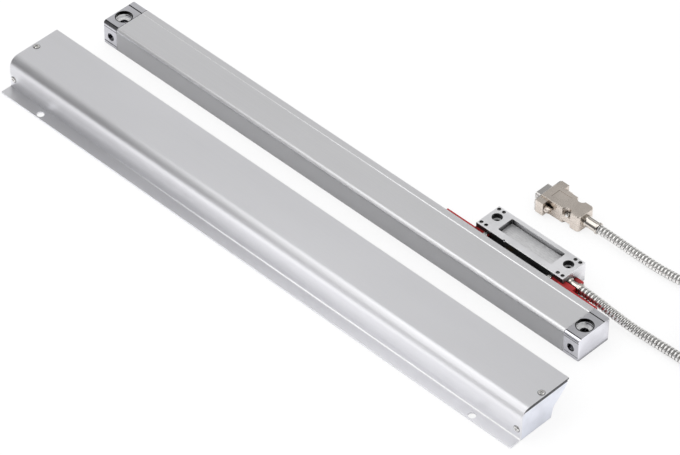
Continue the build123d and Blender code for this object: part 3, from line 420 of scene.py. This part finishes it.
# %% Smooth route of the lead
def spline_line(name, points):
    """The points along the NURBS line that has those control points, in metres."""
    curve = bpy.data.curves.new(name, "CURVE")
    curve.dimensions = "3D"
    spline = curve.splines.new("NURBS")
    spline.points.add(len(points) - 1)
    for control, point in zip(spline.points, points):
        control.co = (*(Vector(point) * MM), 1.0)
    spline.order_u = 3
    spline.use_endpoint_u = True
    spline.resolution_u = 12
    holder = bpy.data.objects.new(name, curve)
    line = bpy.data.meshes.new_from_object(holder)
    found = [v.co.copy() for v in line.vertices]
    bpy.data.objects.remove(holder)
    return found


route = spline_line("lead_route", LEAD_OUT + coil_points() + LEAD_BACK)

# %% [markdown]
# ## Winding the hose
#
# A tube with a bump texture would look smooth in outline, and this hose is ribbed right to
# its edge. So the ribs are real: a frame is carried along the route without twisting, and
# the radius of each ring follows the strip's rounded section as it winds round. The ridge
# climbs by one pitch in each turn, which gives the slanted ribs of a real wound hose.

# %% A tube on a line
def even_points(line, step):
    """Points on a line, step apart along it."""
    made = [line[0].copy()]
    left = step
    for a, b in zip(line, line[1:]):
        run = (b - a).length
        done = 0.0
        while run - done >= left:
            done += left
            made.append(a.lerp(b, done / run))
            left = step
        left -= run - done
    return made


def tube_mesh(name, line, radius_at, sides):
    """A closed tube on a line. radius_at takes the length along it and the angle."""
    normal = (line[1] - line[0]).orthogonal().normalized()
    vertices = []
    travelled = 0.0
    for i, point in enumerate(line):
        before, after = line[max(i - 1, 0)], line[min(i + 1, len(line) - 1)]
        tangent = (after - before).normalized()
        normal = (normal - tangent * normal.dot(tangent)).normalized()
        across = tangent.cross(normal)
        if i:
            travelled += (point - before).length
        for k in range(sides):
            angle = math.tau * k / sides
            reach = radius_at(travelled, angle)
            vertices.append(point + (normal * math.cos(angle)
                                     + across * math.sin(angle)) * reach)
    faces = []
    for i in range(len(line) - 1):
        for k in range(sides):
            a, b = i * sides + k, i * sides + (k + 1) % sides
            faces.append((a, b, b + sides, a + sides))
    faces.append(tuple(reversed(range(sides))))
    last = (len(line) - 1) * sides
    faces.append(tuple(range(last, last + sides)))
    mesh = bpy.data.meshes.new(name)
    mesh.from_pydata(vertices, [], faces)
    mesh.polygons.foreach_set("use_smooth", [True] * len(faces))
    return mesh


print("tube helpers ready")

# %% Wind the strip round the route
RIB_PITCH = 3.25
RIB_STEPS = 7
RIB_DEPTH = 0.95
GROOVE = 0.11
SIDES = 20


def rib_phase(travelled, angle):
    """Place on the strip's section, from 0 to 1, with the groove at 0.5."""
    return (travelled / (RIB_PITCH * MM) + angle / math.tau) % 1.0


def rib_radius(travelled, angle):
    """Radius of the wound strip: a broad rounded rib with a narrow groove between."""
    dip = math.exp(-((rib_phase(travelled, angle) - 0.5) / GROOVE) ** 2)
    return (HOSE / 2 - RIB_DEPTH * dip) * MM


hose_line = even_points(route, RIB_PITCH * MM / RIB_STEPS)
lead = bpy.data.objects.new("lead", tube_mesh("lead", hose_line, rib_radius, SIDES))
# Faces in the groove get the darker second finish, a painted shade.
for number, face in enumerate(lead.data.polygons[:-2]):
    ring, side = divmod(number, SIDES)
    travelled = (ring + 0.5) * RIB_PITCH * MM / RIB_STEPS
    phase = rib_phase(travelled, (side + 0.5) * math.tau / SIDES)
    face.material_index = int(abs(phase - 0.5) < GROOVE)
bpy.context.scene.collection.objects.link(lead)
print("hose rings", len(hose_line))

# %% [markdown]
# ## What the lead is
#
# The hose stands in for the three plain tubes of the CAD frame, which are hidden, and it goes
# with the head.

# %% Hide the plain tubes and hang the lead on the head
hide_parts("lead_out", "lead_coil", "lead_back")
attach(lead, "head")
print("the lead leaves at", LEAD_OUT[0], "mm")

# %% [markdown]
# ## Anodised aluminium
#
# The housing and the cover are anodised: a hard, slightly cloudy skin that scatters the
# reflection and hides most of the drawing lines. So the finish is metal of middling
# roughness, with a fine grain in the colour, faint lines along the extrusion, and edges a
# little brighter where the skin is thin. Each of the two has its own marks. The housing has a
# painted highlight along a line on its top and on its rounded corner, and painted shade on its
# side. The cover has painted shade on its wall at the far end, on its sawn ends and round its
# screws, and a painted highlight on the crease where the press folded its foot. Their places are
# in millimetres, like the CAD frame's sizes.


# %% Marks on the housing
TOP_LINE_Y = 11.5
# How dark the painted shade on the housing's side is.
SIDE_SHADE = 0.52


def housing_marks(g, shade, colour):
    """The painted highlights on the rounded corner and along the line on top, and the painted
    shade on the side below.
    """
    side = -1 * g.facing(Y)
    # Painted highlight on the rounded corner over the side of the housing.
    rounded = g.facing(Z).between(0.30, 0.50) * (1 - g.facing(Z).between(0.94, 0.99))
    shade = g.mix(shade, tinted(colour, 1.22), rounded * side.between(0.1, 0.3))
    # Painted shade on the side of the housing.
    shade = g.mix(shade, tinted(colour, SIDE_SHADE), side.between(0.92, 0.99))
    # Painted highlight along the line on top, stronger towards +X.
    line = g.stripe(Y, TOP_LINE_Y, 0.40, 0.70)
    line = line * (0.15 + 0.55 * g.along(X).between(-0.05, 0.20))
    return g.mix(shade, (0.95, 0.95, 0.96), line), line


print("the housing's pale line is at", TOP_LINE_Y, "mm")

# %% Marks on the cover
# How dark the painted shade on the far wall of the cover is.
FAR_WALL_SHADE = 0.76
WALL_FOOT_Z = 11.0
SAWN_END_SHADE = 0.08
SAWN_SHADE_HEIGHT = 4.0
SCREW_HEAD = 2.5
SCREW_RIM = 2.8
FOLD_Y = -110.1
FOLD_TOP_Z = 2.0


def screw_rim_shade(g):
    """1 on the rims round the heads of the four cover screws, where painted shade goes."""
    low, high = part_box("cover_screws")
    head = SCREW_HEAD * MM
    middle = (low[X] + high[X]) / 2
    off_x = abs(g.along(X) - middle) - ((high[X] - low[X]) / 2 - head)
    rims = []
    for axis, place, face in ((Y, high[Y] - head, g.facing(Z)),
                              (Z, low[Z] + head, -1 * g.facing(Y))):
        off = g.along(axis) - place
        away = (off_x * off_x + off * off) ** 0.5
        rim_shade = 1 - abs(away - SCREW_RIM * MM).between(0.1 * MM, 0.5 * MM)
        rims.append(rim_shade * face.between(0.5, 0.9))
    return rims[0] + rims[1]


def cover_marks(g, shade, colour):
    """Painted shade on the far wall, on the cut ends and round the screws, and a painted
    highlight on the fold of the foot.
    """
    side = -1 * g.facing(Y)
    far_end = 1 - g.along(X).between(-0.22, 0.08)
    # Painted shade on the upper wall of the cover towards its far end.
    far_wall_shade = side.between(0.6, 0.95) * far_end * g.above(WALL_FOOT_Z, 5)
    shade = g.mix(shade, tinted(colour, FAR_WALL_SHADE), far_wall_shade)
    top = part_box("cover_sheet")[1][Z] / MM
    # Painted shadow on the top of the sawn ends, where the sheet meets the end plates.
    sawn_end_shade = abs(g.facing(X)).between(0.80, 0.95) * g.above(top - SAWN_SHADE_HEIGHT, 2)
    shade = g.mix(shade, tinted(colour, SAWN_END_SHADE), sawn_end_shade)
    # Painted shade round the heads of the cover screws.
    shade = g.mix(shade, tinted(colour, 0.15), 0.8 * screw_rim_shade(g))
    # Painted highlight on the fold of the cover's foot.
    crease_highlight = g.stripe(Y, FOLD_Y, 0.35, 0.60) * (1 - g.above(FOLD_TOP_Z, 0.6))
    crease_highlight = crease_highlight * g.along(X).between(-0.2, 0.1)
    return g.mix(shade, (0.98, 0.98, 0.98), crease_highlight), crease_highlight


print("the cover's crease is at", FOLD_Y, "mm")

# %% Finish of the anodised extrusions
def anodised(name, colour, line_share, roughness, marks):
    """Aluminium under a cloudy skin, with faint lines and the marks of its piece."""
    g = finish_of(name)
    grain = g.noise(g.place(), 2600, 2)
    lines = g.noise(g.place(6, 1500, 1500), 1.0, 4, 0.6)
    cloud = g.noise(g.place(1, 3, 3), 9, 3)
    worn = g.edge(0.25 * MM)
    tone = 0.94 + 0.05 * grain + 0.05 * cloud + line_share * (lines - 0.5)
    shade = g.mix(tinted(colour, 0.80), colour, tone.between(0.80, 1.06))
    shade = g.mix(shade, tinted(colour, 1.25), 0.5 * worn)
    # The marks also give back their painted highlight, where the metal is taken off so that it
    # stays white.
    shade, painted_highlight = marks(g, shade, colour)
    g.surface(
        Base_Color=shade, Metallic=0.92 * (1 - painted_highlight),
        Roughness=roughness + 0.07 * (cloud - 0.5) + 0.08 * (grain - 0.5) - 0.06 * worn,
        Normal=g.bumped(0.5 * grain + 0.5 * lines, 0.012 * MM, 0.2 * MM))


print("anodised finish ready")

# %% [markdown]
# ## Polished and machined metal
#
# The end caps are polished and plated, so they mirror the room with only hairlines and a
# little haze. The reading head is milled and then anodised, with faint tool marks, and the
# side that it turns to the scale is coloured near black. Small screws are plain steel. Holes
# see little light, so the walls of a recess get painted shade and its flat bottom stays pale.
# One function serves them all. What a piece has of its own is a small function of marks:
# painted shade on the seams, steps, edge and bore rims of the caps with painted light inside
# the bores, painted dark reflections along the polished tubes and the edges of the plug's
# hood, and rubbed streaks on the plate in the head's pocket.


# %% Marks on the end caps
CAP_SIDE_SHADE = 0.62
CAP_STEP_Z = 18.4
CAP_FOOT_Z = 3.1
BORE_FROM_END = 8.35
BORE_Y = -1.8
BORE_RADIUS = 6.8
BORE_DEPTH = 6.0
BORE_RIM = 3.2
BLACK = (0.02, 0.02, 0.02)


def cap_bores(g):
    """Two values: 1 on the rims of the counterbores, which get painted shade, and 1 all over
    inside them, which gets painted light.
    """
    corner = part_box("end_cap_right")[1]
    top = corner[Z] / MM
    off_x = abs(g.along(X)) - (corner[X] - BORE_FROM_END * MM)
    off_y = g.along(Y) - BORE_Y * MM
    away = (off_x * off_x + off_y * off_y) ** 0.5
    bore = 1 - away.between((BORE_RADIUS + 0.6) * MM, (BORE_RADIUS + 0.9) * MM)
    rim_shade = bore * g.above(top - BORE_RIM, 0.5)
    return rim_shade, bore * g.above(top - BORE_DEPTH - 0.3, 0.3)


def cap_marks(g, shade, metal, colour):
    """Painted shade on the seams, steps and edge of a cap and on the rims of its bores, and
    painted light inside the bores.
    """
    top = g.facing(Z)
    side = -1 * g.facing(Y)
    flat_side = side.between(0.7, 0.9)
    rim_shade, inside = cap_bores(g)
    # Painted light inside the counterbores, where the metal is also turned down.
    shade = g.mix(shade, (0.95, 0.95, 0.95), 0.8 * inside)
    # Painted shade on the flat side of the cap.
    shade = g.mix(shade, tinted(colour, CAP_SIDE_SHADE), flat_side)
    # Painted shade in the groove on top, along the steps of the side and on the bore rims, and a
    # painted dark reflection on the edge over the side.
    seam_shade = top.between(0.5, 0.7) * g.stripe(Y, TOP_LINE_Y, 0.40, 0.70)
    step_shade = g.stripe(Z, CAP_STEP_Z, 0.35, 0.70) + g.stripe(Z, CAP_FOOT_Z, 0.10, 0.40)
    edge = top.between(0.90, 0.95) * (1 - top.between(0.985, 0.998)) * side.between(0.05, 0.15)
    dark = seam_shade + flat_side * step_shade + edge + rim_shade
    return g.mix(shade, BLACK, dark.clamped()), metal * (1 - 0.6 * inside * (1 - rim_shade))


print("the caps' counterbores are", 2 * BORE_RADIUS, "mm wide")

# %% Marks on the head, its plate, the plug and the cover's ends
# Height of the painted shadow under the cover's sheet.
PLATE_SHADOW_HEIGHT = 1.5


def head_marks(g, shade, metal, colour):
    """Colours the side that the head turns to the scale near black."""
    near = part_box("head_block")[0][Y]
    black = (-1 * g.facing(Y)).between(0.80, 0.95)
    black = black * (1 - g.along(Y).between(near + 0.5 * MM, near + 0.9 * MM))
    return g.mix(shade, tinted(colour, 0.01), black), metal * (1 - black)


def label_marks(g, shade, metal, colour):
    """The rubbed streaks of a bare plate."""
    streaks = g.noise(g.place(260, 900, 1), 1.0, 4, 0.6).between(0.40, 0.62)
    return g.mix(shade, tinted(colour, 0.72), 0.5 * streaks), metal


def tube_reflection_streaks(g, shade, metal, colour):
    """The painted dark reflections that run along a polished tube."""
    top = g.facing(Z)
    far = g.facing(Y)
    low = top.between(0.20, 0.35) * (1 - top.between(0.58, 0.72)) * (1 - far.between(-0.5, -0.3))
    high = far.between(0.12, 0.28) * (1 - far.between(0.48, 0.62)) * top.between(0.5, 0.7)
    return g.mix(shade, tinted(colour, 0.12), (0.85 * (low + high)).clamped()), metal


def hood_edge_reflection(g, shade, metal, colour):
    """The painted dark reflections along the rounded edges of a casting."""
    return g.mix(shade, tinted(colour, 0.25), 0.7 * g.edge(0.4 * MM)), metal


def plate_top_shadow(g, shade, metal, colour):
    """The painted shadow under the sheet, along the top of an end plate."""
    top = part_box("cover_end_right")[1][Z] / MM
    return g.mix(shade, tinted(colour, 0.08), g.above(top - PLATE_SHADOW_HEIGHT - 0.2, 0.2)), metal


# The print gives the height of the painted shadow along the top of the end plates.
print("the gap over the cover's ends is", PLATE_SHADOW_HEIGHT, "mm high")

# %% Finish of bare metals
def bare_metal(name, colour, roughness, scratch_scale=(40, 1800, 1800), scratch=0.25,
               haze=0.05, metallic=1.0, edge_width=0.15, shadow=0.5, reach=3.0,
               shut=0.10, clear=0.75, marks=None):
    """Metal with fine scratches, a little haze, worn edges and painted shade in its recesses.

    scratch_scale says how close the scratches lie along each axis. edge_width and reach are
    in millimetres. A point is in a recess when less than clear of the space within reach is
    open, fully so below shut, and shadow says how dark it goes.
    """
    g = finish_of(name)
    scratches = g.noise(g.place(*scratch_scale), 1.0, 5, 0.65)
    patches = g.noise(g.place(), 60, 4)
    grime = g.noise(g.place(), 420, 3)
    worn = g.edge(edge_width * MM)
    shade = g.mix(tinted(colour, 0.86), colour, patches.between(0.25, 0.70))
    shade = g.mix(shade, tinted(colour, 1.12, 0.02), 0.6 * worn)
    # Painted shade on the walls of recesses; their flat bottoms get less of it and less metal,
    # so they stay pale.
    recess = g.recess(reach * MM, shut, clear)
    bottom = recess * g.facing(Z).between(0.80, 0.95)
    shade = g.mix(shade, tinted(colour, 0.03), shadow * (recess - 0.9 * bottom))
    metal = metallic * (1 - 0.6 * bottom)
    if marks:
        shade, metal = marks(g, shade, metal, colour)
    gloss = roughness + haze * (patches - 0.5) + 0.5 * haze * (grime - 0.5)
    g.surface(
        Base_Color=shade, Metallic=metal, Roughness=(gloss - 0.3 * haze * worn).clamped(),
        Normal=g.bumped(scratch * scratches, 0.01 * MM, edge_width * MM))


print("bare metal finish ready")

# %% [markdown]
# ## Plastics, rubber, glass and boards
#
# Moulded plastic has a fine spark-eroded grain and a gloss that varies with handling. Rubber
# is darker and duller, with dust in it. The glass carries chrome lines forty to the
# millimetre, too fine to see one by one, so a coarser ruling stands for them on a faint dark
# track. The boards are green glass-fibre, so a weave of small cells and a few lighter traces
# show through their lacquer.


# %% Finish of moulded plastic and rubber
def moulded(name, colour, roughness, grain_depth=0.02, dust=0.05, shadow=0.0):
    """Plastic or rubber with a fine grain, worn edges, a little dust and, when shadow is given,
    painted shade in its recesses.
    """
    g = finish_of(name)
    grain = g.noise(g.place(), 1900, 3)
    flow = g.noise(g.place(), 45, 3)
    worn = g.edge(0.3 * MM)
    shade = g.mix(tinted(colour, 0.78), colour, flow.between(0.3, 0.7))
    shade = g.mix(shade, tinted(colour, 1.3, 0.04), 0.5 * worn + dust * grain)
    # Painted shade in recesses, as dark as shadow says.
    if shadow:
        shade = g.mix(shade, tinted(colour, 0.1), shadow * g.recess(6 * MM, 0.2, 0.9))
    g.surface(
        Base_Color=shade, Roughness=roughness + 0.12 * (flow - 0.5) + 0.1 * (grain - 0.5),
        Normal=g.bumped(grain, grain_depth * MM, 0.2 * MM))


print("moulded finish ready")

# %% Finish of the glass
TRACK_Y = -7.8
TRACK_WIDTH = 5.0
LINE_GAP = 0.8


def ruled_glass(name):
    """Clear glass with a ruled track along X."""
    g = finish_of(name)
    lines = (g.along(X) * (math.tau / (LINE_GAP * MM))).wave().between(-0.2, 0.2)
    track = g.stripe(Y, TRACK_Y, TRACK_WIDTH / 2, TRACK_WIDTH / 2 + 0.2)
    smear = g.noise(g.place(), 120, 3)
    shade = g.mix((0.80, 0.90, 0.87), (0.16, 0.17, 0.18), 0.6 * track * lines)
    g.surface(
        Base_Color=shade, Roughness=0.04 + 0.06 * smear, IOR=1.52,
        Alpha=0.42 + 0.35 * track * lines, Normal=g.bumped(smear, 0.002 * MM))


print("the glass has a track of", TRACK_WIDTH, "mm")

# %% Finish of the printed boards
def laminate(name):
    """Green glass-fibre board with faint traces under its lacquer."""
    g = finish_of(name)
    weave = g.add("ShaderNodeTexVoronoi", {"feature": "F1"},
                  {"Vector": g.place(1, 1, 0), "Scale": 900})
    traces = g.noise(g.place(700, 90, 0), 1.0, 2).between(0.52, 0.56)
    shade = g.mix((0.02, 0.16, 0.07), (0.05, 0.28, 0.12), weave)
    shade = g.mix(shade, (0.10, 0.36, 0.16), 0.5 * traces)
    g.surface(Base_Color=shade, Roughness=0.38 + 0.1 * weave,
              Normal=g.bumped(traces, 0.03 * MM, 0.1 * MM))


print("board finish ready")

# %% [markdown]
# ## One finish for each slot of the record
#
# The packed record says which slot each node's finish comes from. The finishes are made
# once, by slot, and the loop hands them out, so no node can be left with the flat colour
# that it was packed with. Two finishes have no slot: the joint of the cap gaskets is paler
# than the other rubber, a painted highlight, and the groove of the hose is darker than its
# ribs, a painted shade.

# %% Make the metal finishes
# shadow, reach, shut and clear set how much painted shade each finish's recesses get.
anodised("anodised_housing", (0.81, 0.81, 0.825), 0.10, 0.40, housing_marks)
anodised("cover_anodised", (0.86, 0.86, 0.885), 0.05, 0.36, cover_marks)
bare_metal("polished_caps", (0.93, 0.93, 0.98), 0.12, (25, 1500, 1500), 0.12, 0.06,
           edge_width=0.3, shadow=1.0, reach=6.0, shut=0.35, clear=0.90, marks=cap_marks)
bare_metal("cover_end_metal", (0.88, 0.90, 0.97), 0.30, (900, 30, 900), 0.3, 0.08,
           marks=plate_top_shadow)
bare_metal("head_metal", (0.96, 0.96, 0.98), 0.36, (30, 1300, 1300), 0.25, 0.08, metallic=0.8,
           shadow=1.0, reach=14.0, shut=0.40, clear=0.97, marks=head_marks)
bare_metal("label_metal", (0.92, 0.92, 0.93), 0.42, (20, 1600, 1600), 0.6, 0.14,
           metallic=0.85, marks=label_marks)
bare_metal("screw_steel", (0.86, 0.85, 0.83), 0.22, (900, 900, 900), 0.3, shadow=0.9,
           reach=2.0)
bare_metal("blade_steel", (0.60, 0.60, 0.61), 0.26, (30, 900, 900), 0.3)
bare_metal("bearing_steel", (0.72, 0.72, 0.73), 0.12)
bare_metal("carriage_metal", (0.09, 0.09, 0.10), 0.42, metallic=0.6)
bare_metal("gland_nickel", (0.80, 0.75, 0.69), 0.10, shadow=0.9, marks=tube_reflection_streaks)
bare_metal("hose_steel", (0.92, 0.91, 0.89), 0.27, (700, 700, 700), 0.3)
# The groove's darker colour is painted shade.
bare_metal("hose_groove_shade", (0.24, 0.235, 0.22), 0.5, (700, 700, 700))
bare_metal("hood_nickel", (0.80, 0.725, 0.655), 0.27, (500, 500, 500), 0.35, 0.12, shadow=0.9,
           reach=2.5, marks=hood_edge_reflection)
bare_metal("shell_tin", (0.70, 0.68, 0.66), 0.20, shadow=0.9)
bare_metal("pin_gold", (0.86, 0.62, 0.24), 0.2)
print("metal finishes ready")

# %% Make the other finishes
# The paler gasket finish is a painted highlight along the joint of the caps.
moulded("gasket_painted_highlight", (0.80, 0.80, 0.80), 0.55)
moulded("seal_rubber", (0.012, 0.012, 0.013), 0.70, 0.03, 0.02)
moulded("silicone_bond", (0.72, 0.71, 0.68), 0.45)
moulded("dark_plastic", (0.03, 0.03, 0.035), 0.45)
moulded("plug_plastic", (0.025, 0.025, 0.028), 0.40)
moulded("red_plastic", (0.44, 0.018, 0.020), 0.34, shadow=0.85)
moulded("tie_nylon", (0.78, 0.77, 0.73), 0.40)
moulded("ribbon_film", (0.42, 0.24, 0.06), 0.28)
ruled_glass("scale_glass")
laminate("board_laminate")
print("finishes", len(finishes))

# %% Hand the finishes out
for row in frame["record"]["subparts"]:
    mesh = frame["nodes"][row["node"]].data
    # The cap gaskets get the paler finish, a painted highlight.
    painted_highlight = row["node"].startswith("cap_gasket")
    mesh.materials.clear()
    mesh.materials.append(finishes["gasket_painted_highlight" if painted_highlight else row["material_slot"]])
lead.data.materials.append(finishes["hose_steel"])
lead.data.materials.append(finishes["hose_groove_shade"])
